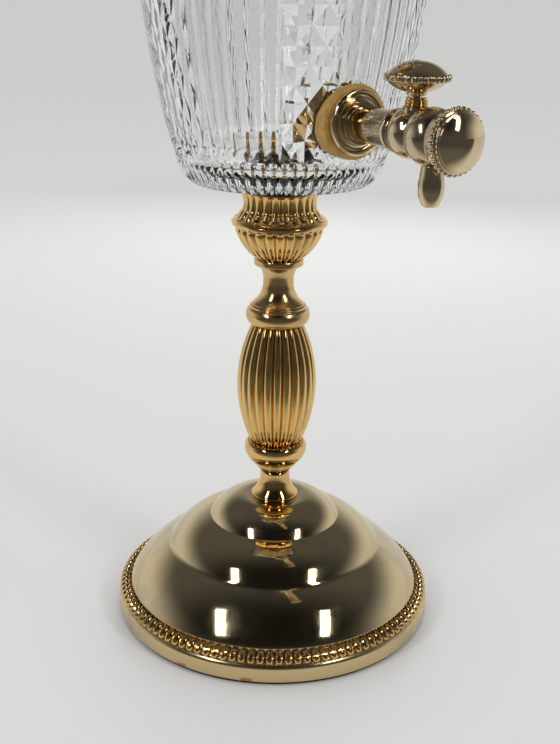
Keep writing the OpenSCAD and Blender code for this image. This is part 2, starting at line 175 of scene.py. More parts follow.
def lathe(name, profile, centre=Vector(), axis=UP, out=Vector((1, 0, 0)), steps=128, closed=True):
    """Spins a profile of (radius, height) in mm about an axis; an open one starts and ends on it."""
    places = [centre + (out * p[0] + axis * p[1]) * MM for p in profile]
    if closed:
        places.append(places[0])
    piece = draw_line(name, places)
    bpy.ops.mesh.spin(steps=steps, angle=TURN, center=centre, axis=axis)
    close_up()
    print(name, len(piece.data.polygons), "faces")
    return piece


def repeat_round(piece, count, centre=Vector(), axis=UP):
    """Copies all of a piece's mesh round an axis, so that there are count of it."""
    bpy.ops.object.select_all(action="DESELECT")
    bpy.context.view_layer.objects.active = piece
    piece.select_set(True)
    bpy.ops.object.mode_set(mode="EDIT")
    bpy.ops.mesh.select_all(action="SELECT")
    bpy.ops.mesh.spin(steps=count - 1, dupli=True, angle=TURN * (count - 1) / count,
                      center=centre, axis=axis)
    bpy.ops.object.mode_set(mode="OBJECT")
    return piece


def join(name, *pieces):
    """Makes one piece of several, which keeps the first one's name or takes the one given."""
    bpy.ops.object.select_all(action="DESELECT")
    for piece in pieces:
        piece.select_set(True)
    bpy.context.view_layer.objects.active = pieces[0]
    bpy.ops.object.join()
    pieces[0].name = pieces[0].data.name = name
    return pieces[0]


# %% [markdown]
# ## Carving a turned form
#
# Ribs, lobes and flutes are cut into a turned surface. A Displace modifier moves each vertex along
# its normal by the weight that it has in a vertex group, so a formula for the depth of the cut at
# each place is all that a carved piece needs on top of its profile.

# %% Carve
def apply_modifier(piece, modifier):
    bpy.ops.object.select_all(action="DESELECT")
    bpy.context.view_layer.objects.active = piece
    piece.select_set(True)
    bpy.ops.object.modifier_apply(modifier=modifier.name)


def carve(piece, depth_at, smooth=SMOOTH_ANGLE):
    """Sinks each vertex by depth_at(radius, height, angle), in mm and degrees from the tap."""
    depths = []
    for vertex in piece.data.vertices:
        x, y, z = vertex.co / MM
        depths.append(depth_at(math.hypot(x, y), z, math.degrees(math.atan2(x, -y))))
    deepest = max(depths)
    group = piece.vertex_groups.new(name="cut")
    for index, depth in enumerate(depths):
        if depth > 0:
            group.add([index], depth / deepest, "REPLACE")
    cut = piece.modifiers.new("cut", "DISPLACE")
    cut.vertex_group = group.name
    cut.mid_level = 0
    cut.strength = -deepest * MM
    apply_modifier(piece, cut)
    piece.vertex_groups.clear()
    bpy.ops.object.shade_smooth_by_angle(angle=smooth)
    print(piece.name, "cut up to", round(deepest, 2), "mm deep")
    return piece


def phase(angle, pitch):
    """How far an angle is from the nearest multiple of pitch, from -0.5 to 0.5."""
    turns = angle / pitch
    return turns - round(turns)


def rib(share):
    """Depth of a round-backed rib at a phase, from 0 on its back to 1 in the groove."""
    fullness = 0.95
    return (1 - math.sqrt(1 - (2 * share * fullness) ** 2)) / (1 - math.sqrt(1 - fullness ** 2))


def fade(value, start, end):
    """Goes smoothly from 0 at start to 1 at end."""
    t = min(1, max(0, (value - start) / (end - start)))
    return t * t * (3 - 2 * t)


# %% [markdown]
# ## Finishes as sums
#
# Node trees are easier to read as sums. `Wire` wraps one socket, its operators add Math nodes, and
# `node` makes any other node from its settings and its sockets.

# %% Wires
class Wire:
    """One output socket of a node tree."""

    def __init__(self, tree, socket=None):
        self.tree, self.socket = tree, socket

    def node(self, kind, settings=None, sockets=None, out=0):
        made = self.tree.nodes.new("ShaderNode" + kind)
        for key, value in (settings or {}).items():
            setattr(made, key, value)
        for key, value in (sockets or {}).items():
            if isinstance(value, Wire):
                self.tree.links.new(value.socket, made.inputs[key])
            else:
                made.inputs[key].default_value = value
        return Wire(self.tree, made.outputs[out])

    def maths(self, operation, a, b):
        return self.node("Math", {"operation": operation}, {0: a, 1: b})

    def __add__(self, other):
        return self.maths("ADD", self, other)

    def __sub__(self, other):
        return self.maths("SUBTRACT", self, other)

    def __rsub__(self, other):
        return self.maths("SUBTRACT", other, self)

    def __mul__(self, other):
        return self.maths("MULTIPLY", self, other)

    __radd__ = __add__
    __rmul__ = __mul__


def new_finish(name, **shader):
    """An empty material with a Principled shader; returns it, its shader and a first wire."""
    material = bpy.data.materials.new(name)
    material.use_nodes = True
    bsdf = material.node_tree.nodes["Principled BSDF"]
    for key, value in shader.items():
        bsdf.inputs[key.replace("_", " ")].default_value = value
    return material, bsdf, Wire(material.node_tree)


def feed(bsdf, **sockets):
    for key, wire in sockets.items():
        wire.tree.links.new(wire.socket, bsdf.inputs[key.replace("_", " ")])


def place_of(start):
    """The place on the object, in metres, and its three numbers."""
    place = start.node("TexCoord", out=3)
    return place, [place.node("SeparateXYZ", {}, {0: place}, out=k) for k in range(3)]


def noise(place, scale, detail=3, rough=0.5):
    return place.node("TexNoise", {}, {"Vector": place, "Scale": scale, "Detail": detail,
                                       "Roughness": rough})


def step_up(wire, low, high):
    """Rises smoothly from 0 where wire is low to 1 where it is high."""
    return wire.node("MapRange", {"interpolation_type": "SMOOTHSTEP"}, {0: wire, 1: low, 2: high})


def tint(mask, first, second):
    """Goes from one colour to another by a mask."""
    colours = {6: first if isinstance(first, Wire) else (*first, 1),
               7: second if isinstance(second, Wire) else (*second, 1)}
    return mask.node("Mix", {"data_type": "RGBA"}, {0: mask, **colours}, out=2)


def raised(height, depth, strength=1.0):
    """Normal of a surface whose height, from 0 to 1, stands for depth in metres."""
    return height.node("Bump", {}, {"Height": height, "Distance": depth, "Strength": strength})


# %% [markdown]
# ## Gold plate, in several tempers
#
# All the metal is plated brass. The base and the lid are polished like mirrors and have worn pale,
# the barrel and collar are warm and bright, and the neck and the plinth keep fine marks from the
# lathe. One function gives all of these: a colour that dulls in patches, a roughness that drifts,
# and turning marks along the piece's own axis as a fine bump.

# %% Gold
def gold_finish(name, colour, dull, rough, spread, marks=0.0, axis=2, pitch=0.0011, patches=0.5):
    """Plated metal; marks is the depth of the turning marks and pitch their spacing, in metres."""
    material, bsdf, start = new_finish(name, Metallic=1.0)
    place, numbers = place_of(start)
    cloud = noise(place, 38, 4, 0.55)
    speck = noise(place, 900, 2)
    worn = step_up(cloud + speck * 0.12, 0.66 - 0.2 * patches, 0.84 - 0.1 * patches)
    feed(bsdf, Base_Color=tint(worn, colour, dull))
    wipe = noise(place, 140, 3, 0.6)
    feed(bsdf, Roughness=rough + (wipe - 0.35) * spread + worn * spread * 0.8)
    turned = start.node("TexNoise", {"noise_dimensions": "1D"},
                        {"W": numbers[axis], "Scale": 1 / pitch, "Detail": 3.0, "Roughness": 0.65})
    feed(bsdf, Normal=raised(turned + speck * 0.2, max(marks, 0.000001)))
    return material


mirror_gold = gold_finish("mirror gold", (0.66, 0.53, 0.31), (0.50, 0.43, 0.29), 0.05, 0.10,
                          marks=0.000001, patches=0.6)
warm_gold = gold_finish("warm gold", (0.82, 0.54, 0.20), (0.55, 0.34, 0.13), 0.06, 0.08,
                        marks=0.000002, patches=0.5)
satin_gold = gold_finish("satin gold", (0.74, 0.51, 0.22), (0.54, 0.37, 0.17), 0.13, 0.12,
                         marks=0.000006, pitch=0.0009, patches=0.6)
tap_gold = gold_finish("tap gold", (0.74, 0.59, 0.37), (0.55, 0.45, 0.31), 0.07, 0.10,
                       marks=0.000002, axis=1, patches=0.5)
print("gold finishes: 4")


# %% [markdown]
# ## The plinth's own finish
#
# The band round the foot has been knocked: in two places on its lower edge the plate is gone and
# the copper under it shows. Each chip is a mask on the distance to its middle, with heights stretched
# so that the chip comes out flat, and noise makes it ragged.

# %% Chipped gold
CHIP_ANGLES = (-63.4, -39.9)
CHIP_HEIGHT = 2.4
CHIP_SIZE = 2.6
CHIP_FLAT = 2.3
base_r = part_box("plinth_ring")[1].x / MM - 0.03


def chipped_gold():
    material = gold_finish("chipped gold", (0.70, 0.54, 0.29), (0.55, 0.44, 0.27), 0.17, 0.14,
                           marks=0.000006, pitch=0.0008, patches=0.6)
    bsdf = material.node_tree.nodes["Principled BSDF"]
    start = Wire(material.node_tree)
    place, _ = place_of(start)
    ragged = noise(place, 700, 2) * (CHIP_SIZE * MM)
    flat = start.node("VectorMath", {"operation": "MULTIPLY"}, {0: place, 1: (1, 1, CHIP_FLAT)})
    bare = 0.0
    for angle in map(math.radians, CHIP_ANGLES):
        middle = Vector((math.sin(angle) * base_r, -math.cos(angle) * base_r, CHIP_HEIGHT * CHIP_FLAT)) * MM
        away = start.node("VectorMath", {"operation": "DISTANCE"}, {0: flat, 1: middle}, out=1)
        bare = step_up(away + ragged, CHIP_SIZE * MM * 1.5, CHIP_SIZE * MM * 1.3) + bare
    plate = Wire(material.node_tree, bsdf.inputs["Base Color"].links[0].from_socket)
    feed(bsdf, Base_Color=tint(bare, plate, (0.56, 0.21, 0.10)))
    return material


chip_gold = chipped_gold()
print("chips at", CHIP_ANGLES)

# %% [markdown]
# ## A near-black pad, rubber, steel and crystal
#
# The pieces that hardly show still get a surface: a near-black matt pad under the base, rubber
# seals, drawn steel for the rod and nuts, and rough iron for the weight. The bowl is lead crystal,
# clear and very bright, with a faint waviness left by hand polishing.

# %% Quiet finishes
def matt_finish(name, dark, light, rough, grain, depth, metallic=0.0):
    """A dull surface with a grain of the given scale."""
    material, bsdf, start = new_finish(name, Metallic=metallic)
    place, _ = place_of(start)
    grainy = noise(place, grain, 4, 0.6)
    feed(bsdf, Base_Color=tint(step_up(grainy, 0.3, 0.7), dark, light))
    feed(bsdf, Roughness=rough + (grainy - 0.5) * 0.2, Normal=raised(grainy, depth))
    return material


# A near-black matt finish for the pad under the base.
felt = matt_finish("felt", (0.012, 0.012, 0.010), (0.04, 0.038, 0.03), 0.95, 1600, 0.0002)
rubber = matt_finish("rubber", (0.018, 0.018, 0.018), (0.035, 0.034, 0.033), 0.55, 500, 0.00002)
amber = matt_finish("amber rubber", (0.42, 0.24, 0.06), (0.58, 0.36, 0.11), 0.4, 300, 0.00001)
steel = matt_finish("drawn steel", (0.48, 0.48, 0.47), (0.62, 0.62, 0.60), 0.28, 900, 0.000004, 1.0)
iron = matt_finish("cast iron", (0.06, 0.06, 0.06), (0.11, 0.11, 0.105), 0.7, 400, 0.0001, 0.8)


def crystal_finish():
    material, bsdf, start = new_finish("crystal", IOR=1.545)
    bsdf.inputs["Transmission Weight"].default_value = 1.0
    place, _ = place_of(start)
    wave = noise(place, 55, 2)
    feed(bsdf, Base_Color=tint(wave, (0.975, 0.985, 0.98), (0.99, 0.995, 0.992)))
    feed(bsdf, Roughness=wave * 0.02, Normal=raised(wave, 0.00015, 0.5))
    return material


crystal = crystal_finish()
print("quiet finishes: 6")

# %% [markdown]
# ## Taking over from the solids
#
# A new piece is only useful if it moves with the right body and hides the solid that it stands
# for. One helper does both, and gives the finish.

# %% Settle
def span(node):
    """A solid's lowest and highest corners, in mm."""
    low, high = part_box(node)
    return low / MM, high / MM


def settle(piece, finish, body, slot, *nodes):
    """Gives a piece its finish and its body, and hides the solids that it stands for; slot is not used."""
    piece.data.materials.clear()
    piece.data.materials.append(finish)
    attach(piece, body)
    if nodes:
        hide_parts(*nodes)
    return piece


ROD_BORE = 3.1

# %% [markdown]
# ## The base
#
# A plain turned band carries a dome that was spun from sheet in three tiers. The dome is a shell,
# so its profile runs up the outside and back down the inside. Its creases are the eye-catchers:
# each tier bows outwards and meets the next in a sharp inward line.

# %% Plinth and dome
plinth_low, plinth_high = span("plinth_ring")
dome_high = span("base_dome")[1]
z_band, dome_top, skirt_r = plinth_high.z, dome_high.z, dome_high.x
z_skirt = z_band + 4.7
crease_1 = (base_r * 0.666, z_skirt + (dome_top - z_skirt) * 0.451)
crease_2 = (base_r * 0.409, z_skirt + (dome_top - z_skirt) * 0.776)
DOME_HUB = 12.4
TIER_BOWS = (1.7, 2.2, 2.6)
SHEET = 1.8


def make_plinth():
    inner, low = base_r - 13, plinth_low.z
    profile = ease([(inner, low), (base_r - 0.3, low), (base_r, low + 1.2), (base_r, z_band - 1.6),
                    (base_r - 0.7, z_band - 0.5), (base_r - 1.4, z_band), (inner, z_band)], 0.7)
    return lathe("plinth_band", profile, steps=192)


def dome_line(inset, drop, steps):
    foot = (skirt_r - inset, z_skirt - drop)
    first, second = (crease_1[0], crease_1[1] - drop), (crease_2[0], crease_2[1] - drop)
    corners = [foot, first, second, (DOME_HUB, dome_top - drop)]
    line = [(skirt_r - inset, z_band)]
    for low, high, sag in zip(corners, corners[1:], TIER_BOWS):
        line += bow(low, high, sag, steps)
    return line


def make_dome():
    inside = dome_line(1.4, SHEET, 6)
    hub = [(ROD_BORE, dome_top), (ROD_BORE, dome_top - SHEET)]
    return lathe("stepped_dome", ease(dome_line(0, 0, 18) + hub + inside[::-1], 0.45), steps=192)


settle(make_plinth(), chip_gold, "fountain", "pale_gold", "plinth_ring")
settle(make_dome(), mirror_gold, "fountain", "pale_gold", "base_dome")

# %% [markdown]
# ## Borders of long beads
#
# A border strip with long beads on its slope goes round the base, and a finer one round the lid.
# One bead is spun as an egg, fuller at its outer end, and then copied round the axis. It is lathed
# about its own leaning axis, so it needs no turning afterwards.

# %% Bead borders
BEAD_LEAN = math.radians(43)
EGG = 0.16


def make_bead(name, radius, height, length, width, lean):
    """One egg-shaped bead whose middle is at a radius and height, leaning in towards the axis."""
    axis = Vector((-math.sin(lean), 0, math.cos(lean)))
    steps = 6
    profile = []
    for k in range(steps + 1):
        t = math.pi * k / steps
        profile.append((width / 2 * math.sin(t) * (1 + EGG * math.cos(t)), -length / 2 * math.cos(t)))
    profile[0], profile[-1] = (0, -length / 2), (0, length / 2)
    middle = Vector((radius, 0, height)) * MM
    return lathe(name, profile, middle, axis, Vector((0, 1, 0)), steps=10, closed=False)


def make_border(name, count, strip, bead):
    """A strip of the given profile with a row of beads on it."""
    band = lathe(name, ease(strip, 0.15), steps=192)
    beads = repeat_round(make_bead(name + "_beads", *bead, BEAD_LEAN), count)
    return join(name, band, beads)


BASE_BEADS = 112
base_strip = [(skirt_r + 0.05, z_band), (base_r - 1.8, z_band), (base_r - 1.8, z_band + 0.3),
              (skirt_r + 0.4, z_skirt - 1.4), (skirt_r + 0.05, z_skirt - 1.2)]
settle(make_border("base_border", BASE_BEADS, base_strip, (base_r - 2.75, z_band + 2.1, 6.0, 3.7)),
       satin_gold, "fountain", "gold", "base_bead_border")

# %% [markdown]
# ## The stem
#
# The stem is a stack of turned pieces on one rod: a waisted foot, a stepped cup, the ribbed barrel,
# a round ring, a satin neck and a thin flange. Each profile starts at the solid's own underside.

# %% Plain stem pieces
def stack(name, node, points, radius=0.3, steps=96):
    """Turns a stem piece whose points go up its outside from the solid's underside."""
    foot = span(node)[0].z
    outside = [(p[0], p[1] + foot) for p in points]
    bore = [(ROD_BORE, outside[-1][1]), (ROD_BORE, outside[0][1])]
    return lathe(name, ease(outside + bore, radius), steps=steps)


foot_points = [(10, 0), (10.3, 0.3), (10.3, 1.3), *hollow((9.9, 1.7), (6.5, 10.2), 0.9),
               *hollow((6.5, 11.2), (7.4, 14), 0.15, 4), (7.4, 14.5)]
cup_points = [(8.2, 0), (8.7, 0.5), (8.7, 1.3), (9.9, 1.7), (9.9, 2.6), *bow((10.9, 3.1), (13.6, 8.6), 0.6),
              (13.6, 9.7), (13.2, 11), (12.3, 12)]
ring_points = [(11, 0), *bow((12.2, 1), (12.7, 7.4), 1.2), (12, 7.8), (12, 8.6), (11.3, 9)]
neck_points = [(11.1, 0), *hollow((11.1, 0.4), (6.5, 9.4), 1.3),
               *hollow((6.5, 12), (8.5, 16.5), 0.35)]
flange_points = [(9.2, 0), (10.4, 0.6), (10.4, 2.8), (9.9, 3.4)]
settle(stack("waisted_foot", "stem_foot", foot_points), warm_gold, "fountain", "gold", "stem_foot")
settle(stack("stepped_cup", "lower_cup", cup_points), warm_gold, "fountain", "gold", "lower_cup")
settle(stack("round_ring", "barrel_ring", ring_points), satin_gold, "fountain", "gold", "barrel_ring")
settle(stack("satin_neck", "stem_neck", neck_points), satin_gold, "fountain", "gold", "stem_neck")
settle(stack("thin_flange", "neck_flange", flange_points), satin_gold, "fountain", "gold", "neck_flange")

# %% [markdown]
# ## Ribs and lobes
#
# The barrel has round-backed ribs that narrow with it towards both ends. The collar above it has
# as many lobes with round tops under a plain ridge, and above that a waist with ribs that hang down
# in round ends. `tongue` measures the way out from the middle of such a round-ended rib.

# %% Barrel and collar
RIBS = 24
RIB_PITCH = 360 / RIBS
RIB_COLUMNS = 16
RIB_DEPTH = 1.6
LOBE_DEPTH = 1.5
REED_DEPTH = 1.0
BARREL_SWELL = 6
barrel_low, barrel_high = span("ribbed_barrel")
bulb_foot = span("collar_bulb")[0].z
crown_foot = span("collar_crown")[0].z


def tongue(share, past, pitch):
    """Distance in pitches from a rib's middle, or from the middle of its round end when past it."""
    return min(0.5, math.hypot(share, max(0, past) / pitch))


def make_barrel():
    big, length = barrel_high.x, barrel_high.z - barrel_low.z
    end = big - BARREL_SWELL
    side = bow((end, 0), (end, length), BARREL_SWELL, 44)
    piece = stack("ribbed_barrel_turned", "ribbed_barrel", side, 0.05, RIBS * RIB_COLUMNS)

    def depth(r, z, angle):
        on_side = r > end - 0.2
        return RIB_DEPTH * (r / big) * rib(phase(angle, RIB_PITCH)) if on_side else 0

    return carve(piece, depth)


def make_bulb():
    lobes = bow((10, 0), (18.5, 12.3), 1.2, 26)
    rim = [*bow((18.7, 12.5), (19.9, 14.8), 0.3, 6), (19.9, 15.4), (19.1, 16.6)]
    piece = stack("lobed_collar", "collar_bulb", lobes + rim, 0.1, RIBS * RIB_COLUMNS)

    def depth(r, z, angle):
        up = z - bulb_foot
        if r < 9.5 or up > 14.2:
            return 0
        share = tongue(phase(angle, RIB_PITCH), up - 10.9, TURN * r / RIBS)
        return LOBE_DEPTH * (r / 19) * rib(share) * fade(up, 14.2, 13.2)

    return carve(piece, depth)


def make_crown():
    side = [*hollow((19.1, 0), (16.2, 2.7), 0.05, 7), *hollow((16.2, 2.7), (15.05, 6.2), 0.35, 9)[1:],
            *hollow((15.05, 6.2), (16.4, 11.1), 0.35, 10)[1:], (16.4, 11.5)]
    piece = stack("reeded_crown", "collar_crown", side, 0.1, RIBS * RIB_COLUMNS)

    def depth(r, z, angle):
        up = z - crown_foot
        if r < 13.8:
            return 0
        share = tongue(phase(angle + RIB_PITCH / 2, RIB_PITCH), 3.0 - up, TURN * r / RIBS)
        return REED_DEPTH * rib(share) * fade(up, 11.2, 10.2) * fade(up, 0.2, 1.0)

    return carve(piece, depth)


settle(make_barrel(), warm_gold, "fountain", "gold", "ribbed_barrel")
settle(make_bulb(), warm_gold, "fountain", "gold", "collar_bulb")
settle(make_crown(), warm_gold, "fountain", "gold", "collar_crown")

# %% [markdown]
# ## The cut-glass bowl
#
# A cutter first has a plain blown bowl, and then grinds into it: scooped flutes down the wall,
# panels of pyramids where two sets of grooves cross, and a ring of short flutes round the bottom
# corner. Here too the bowl is turned first, as one closed wall of even thickness, with its columns
# one degree apart and its rows laid so that every ridge and groove falls on them.

# %% The plain bowl
bowl_low, bowl_high = span("glass_bowl")
z_bowl, bowl_r, bowl_len = bowl_low.z, bowl_high.x, bowl_high.z - bowl_low.z
SHOULDER = 109
GROOVE_HALF = 1.3
GROOVE_DEPTH = 1.2
CURVE_R = 324
WALL = 6
FLOOR = 9
INNER_CORNER = 11
ROD_HOLE = 4.5
SEAT = (18, 0)
EDGE = (bowl_r - 20.4, 2.8)
CORNER_Z = 12.4
PANELS = 5
PANEL_TURN = -20.2
COLUMNS = 360
WALL_ROWS = 84
CORNER_ROWS = 14
wall_low = -math.asin((SHOULDER - CORNER_Z) / CURVE_R)


def wall_line(radius, low, rows):
    """Points up the wall's arc of some radius, from an angle below the shoulder."""
    angles = [low * (1 - k / rows) for k in range(rows + 1)]
    return [Vector((bowl_r - CURVE_R + radius * math.cos(a), SHOULDER + radius * math.sin(a)))
            for a in angles]


def outside_line():
    """Points from the underside's edge round the corner and up to the groove at the shoulder."""
    wall = wall_line(CURVE_R, wall_low, WALL_ROWS)
    wall[-2:] = [Vector((bowl_r, SHOULDER - GROOVE_HALF))]
    return bow(EDGE, wall[0], 0.8, CORNER_ROWS)[:-1] + wall


def inside_line():
    """Points from the flat floor round the inner corner and up to the shoulder."""
    radius = CURVE_R - WALL
    low = -math.asin((SHOULDER - FLOOR - INNER_CORNER) / (radius - INNER_CORNER))
    middle = wall_line(radius - INNER_CORNER, low, 1)[0]
    turns = [-math.pi / 2 + (math.pi / 2 + low) * k / 8 for k in range(8)]
    bend = [middle + INNER_CORNER * Vector((math.cos(a), math.sin(a))) for a in turns]
    return bend + wall_line(radius, low, 14)


outside = outside_line()


def bowl_profile():
    inside = inside_line()
    groove = (bowl_r, SHOULDER - GROOVE_HALF), (bowl_r, SHOULDER + GROOVE_HALF)
    ring = hollow(*groove, GROOVE_DEPTH, 8)[1:]
    rim = ease([ring[-1], (bowl_r, bowl_len), (bowl_r - WALL, bowl_len), inside[-1]], 1.6, False)[1:-1]
    line = [Vector((ROD_HOLE, 0)), Vector(SEAT), *outside, *ring, *rim, *reversed(inside),
            Vector((ROD_HOLE, FLOOR))]
    return [(p.x, p.y + z_bowl) for p in line]


# %% [markdown]
# The depth of the cut is one formula over the wall. `climb` is the distance up the outside from
# where the corner ends, and `across` the angle from the middle of the nearest panel. Flutes are round
# scoops with spooned ends, seven between two panels. In a panel the two slanting sets of grooves leave
# pyramids, two abreast. The glass under the tap's seal stays uncut.

# %% Cuts
FLUTE_EDGES = (12, 19, 26, 33, 39)
FLUTE_DEPTH = 0.9
CORNER_PITCH = 6
CORNER_DEPTH = 1.4
CORNER_TOP = 3.4
SPOON = 4.0
row_len = CURVE_R * -wall_low / WALL_ROWS
WALL_FOOT = 4 * row_len
DIAMOND_DEPTH = 1.8
DIAMOND_WIDE = 6
DIAMOND_TALL = 6 * row_len
TAP_CLEAR = 14.0
TAP_HOLE = 6.5
z_tap = (span("tap_flange")[0].z + span("tap_flange")[1].z) / 2
heights = [p.y for p in outside]
climbs = [0.0]
for before, after in zip(outside, outside[1:]):
    climbs.append(climbs[-1] + (after - before).length)
climbs = [climb - climbs[CORNER_ROWS] for climb in climbs]
print("corner", round(-climbs[0], 1), "mm and wall", round(climbs[-1], 1), "mm high")


def climb_of(r, h):
    """Distance up the outside from where the wall leaves the corner, or None off the outside."""
    near = min(bisect(heights, h - 0.02), len(heights) - 1)
    if abs(outside[near].x - r) < 0.05 and abs(heights[near] - h) < 0.05:
        return climbs[near]
    return None


def flute_share(away):
    """Phase across the flute at an angle from the middle of the nearest panel."""
    for low, high in zip(FLUTE_EDGES, FLUTE_EDGES[1:]):
        if away <= high:
            return (away - low) / (high - low) - 0.5


def scoop(share, past_end):
    """Depth, from 0 to 1, of a round scoop at a phase and at a distance past its spooned end."""
    return max(0, 1 - 4 * share * share - max(0, past_end / SPOON) ** 2)


def zigzag(value):
    """0 at even numbers and 1 at odd ones."""
    return abs((value + 1) % 2 - 1)


def cut_depth(r, z, angle):
    climb = climb_of(r, z - z_bowl)
    if climb is None:
        return 0
    across = phase(angle - PANEL_TURN, 360 / PANELS) * 360 / PANELS
    if climb < CORNER_TOP:
        past = max(climb - CORNER_TOP, climbs[0] - climb) + SPOON
        return CORNER_DEPTH * scoop(phase(across + CORNER_PITCH / 2, CORNER_PITCH), past)
    x, y = r * math.sin(math.radians(angle)), r * math.cos(math.radians(angle))
    if climb < WALL_FOOT - 0.1 or y > 0 and math.hypot(x, z - z_tap) < TAP_CLEAR:
        return 0
    away = abs(across)
    if away < FLUTE_EDGES[0] - 0.1:
        u, v = across / DIAMOND_WIDE, (climb - WALL_FOOT) / DIAMOND_TALL
        return DIAMOND_DEPTH * max(zigzag(u + v), zigzag(u - v))
    if away < FLUTE_EDGES[0] + 0.1:
        return 0
    return FLUTE_DEPTH * scoop(flute_share(away), WALL_FOOT + SPOON - climb)


def select_faces(piece, wanted):
    """Selects just the wanted faces, and goes to edit mode."""
    bpy.ops.object.select_all(action="DESELECT")
    bpy.context.view_layer.objects.active = piece
    piece.select_set(True)
    bpy.ops.object.mode_set(mode="EDIT")
    bpy.ops.mesh.select_mode(type="FACE")
    bpy.ops.mesh.select_all(action="DESELECT")
    bpy.ops.object.mode_set(mode="OBJECT")
    for index in wanted:
        piece.data.polygons[index].select = True
    bpy.ops.object.mode_set(mode="EDIT")


def split_along_grooves(piece):
    """Splits each four-sided face that bends along whichever of its diagonals lies deeper."""
    depth = []
    for vertex in piece.data.vertices:
        x, y, z = vertex.co / MM
        depth.append(cut_depth(math.hypot(x, y), z, math.degrees(math.atan2(x, -y))))

    def bent(face):
        if len(face.vertices) != 4:
            return 0
        a, b, c, d = (depth[v] for v in face.vertices)
        return a + c - b - d

    for method, sign in (("FIXED", 1), ("FIXED_ALTERNATE", -1)):
        select_faces(piece, [f.index for f in piece.data.polygons if bent(f) * sign > 1e-4])
        bpy.ops.mesh.quads_convert_to_tris(quad_method=method)
        bpy.ops.object.mode_set(mode="OBJECT")
    print(piece.name, "split for its grooves:", len(piece.data.polygons), "faces")


def bore(piece, centre, axis, radius, length):
    """Drills a round hole with a cylinder, which is then removed."""
    bpy.ops.object.select_all(action="DESELECT")
    turn = UP.rotation_difference(axis).to_euler()
    bpy.ops.mesh.primitive_cylinder_add(vertices=64, radius=radius * MM, depth=length * MM,
                                        location=centre, rotation=turn)
    drill = bpy.context.object
    hole = piece.modifiers.new("hole", "BOOLEAN")
    hole.operation, hole.solver, hole.object = "DIFFERENCE", "EXACT", drill
    apply_modifier(piece, hole)
    bpy.data.objects.remove(drill)


def make_bowl():
    out = Vector((math.sin(math.radians(PANEL_TURN)), -math.cos(math.radians(PANEL_TURN)), 0))
    piece = lathe("cut_bowl", bowl_profile(), out=out, steps=COLUMNS)
    split_along_grooves(piece)
    carve(piece, cut_depth)
    middle = Vector((0, -45, z_tap)) * MM
    bore(piece, middle, ALONG_TAP, TAP_HOLE, 40)
    bpy.ops.object.shade_smooth_by_angle(angle=math.radians(20))
    return piece


settle(make_bowl(), crystal, "fountain", "glass", "glass_bowl")

# %% [markdown]
# ## The tap
#
# The tap is screwed through the bowl's wall. A dished rose plate covers the hole, a turned body with
# two lobes carries the spout and the bonnet, and a beaded cap closes its drilled end. These pieces
# are lathed about the tap's own axis, with heights as distances from the stand's axis.

# %% Tap body and rose plate
rose_low, rose_high = span("tap_flange")
body_high = span("tap_body")[1]
flange_at, flange_r = -rose_high.y, rose_high.x
hub_at, shank_end = -rose_low.y, -body_high.y
spout = -(span("nozzle")[0].y + span("nozzle")[1].y) / 2
spindle_at = -(span("spindle")[0].y + span("spindle")[1].y) / 2
z_boss = span("bonnet")[0].z + 1.6
TAP_AXIS = Vector((0, 0, z_tap)) * MM
STEM_AXIS = Vector((0, -spindle_at, 0)) * MM
SHANK_R = 6.0


def make_rose():
    r = flange_r
    face = [(r, 0), (r, 2.5), (r - 0.4, 3.3), (r - 0.9, 3.5), (r - 1.9, 1.6), (9.2, 1.3), (9, 2.2),
            (8.2, 2.4), (8, 3), (7.9, 3), (7.9, 4.4), (SHANK_R + 0.05, 4.4), (SHANK_R + 0.05, 0)]
    line = ease([(p[0], p[1] + flange_at) for p in face], 0.2)
    return lathe("rose_plate", line, TAP_AXIS, ALONG_TAP, steps=96)


def unite(piece, other):
    """Melts another piece into a piece, and removes it."""
    weld = piece.modifiers.new("weld", "BOOLEAN")
    weld.operation, weld.solver, weld.object = "UNION", "EXACT", other
    apply_modifier(piece, weld)
    bpy.data.objects.remove(other)
    bpy.ops.object.shade_smooth_by_angle(angle=SMOOTH_ANGLE)


def make_tap_body():
    line = [(0, shank_end + 5), (2.6, shank_end + 5), (2.6, shank_end), (SHANK_R, shank_end),
            (SHANK_R, hub_at), (6.5, hub_at), (6.5, spout - 21), (7.6, spout - 20.4), (7.6, spout - 18.9),
            (6.6, spout - 18.4), *bow((6.6, spout - 17.9), (7.4, spout - 7.9), 1.8, 14),
            (7.1, spout - 7.4), *bow((7.6, spout - 6.9), (8.6, spout + 3.7), 1.9, 14),
            (8, spout + 4.5), (6.8, spout + 4.5), (6.8, spout + 10), (0, spout + 10)]
    piece = lathe("lobed_tap", ease(line, 0.25, False), TAP_AXIS, ALONG_TAP, steps=96, closed=False)
    boss = [(0, z_tap + 2), (4.6, z_tap + 2), (4.6, z_boss), (0, z_boss)]
    unite(piece, lathe("boss", ease(boss, 0.25, False), STEM_AXIS, steps=64, closed=False))
    bore(piece, STEM_AXIS + UP * (z_boss + 3) * MM, UP, 4.8, 6)
    bore(piece, Vector((0, -spout, z_tap - 11)) * MM, UP, 3.95, 5)
    return piece


settle(make_rose(), tap_gold, "fountain", "gold", "tap_flange")
settle(make_tap_body(), tap_gold, "fountain", "gold", "tap_body")

# %% [markdown]
# The knob and the end cap have the same beaded rim. A short bead is spun about its own axis and
# copied round, and then joined to the turned piece. The knob's solid is cored from below, and the
# piece here shows the closed, round underside.

# %% Knob, cap, bonnet and spout
RIM_BEADS = 32
knob_low, knob_high = span("knob")
knob_r = knob_high.x
cap_at = -span("end_cap")[1].y


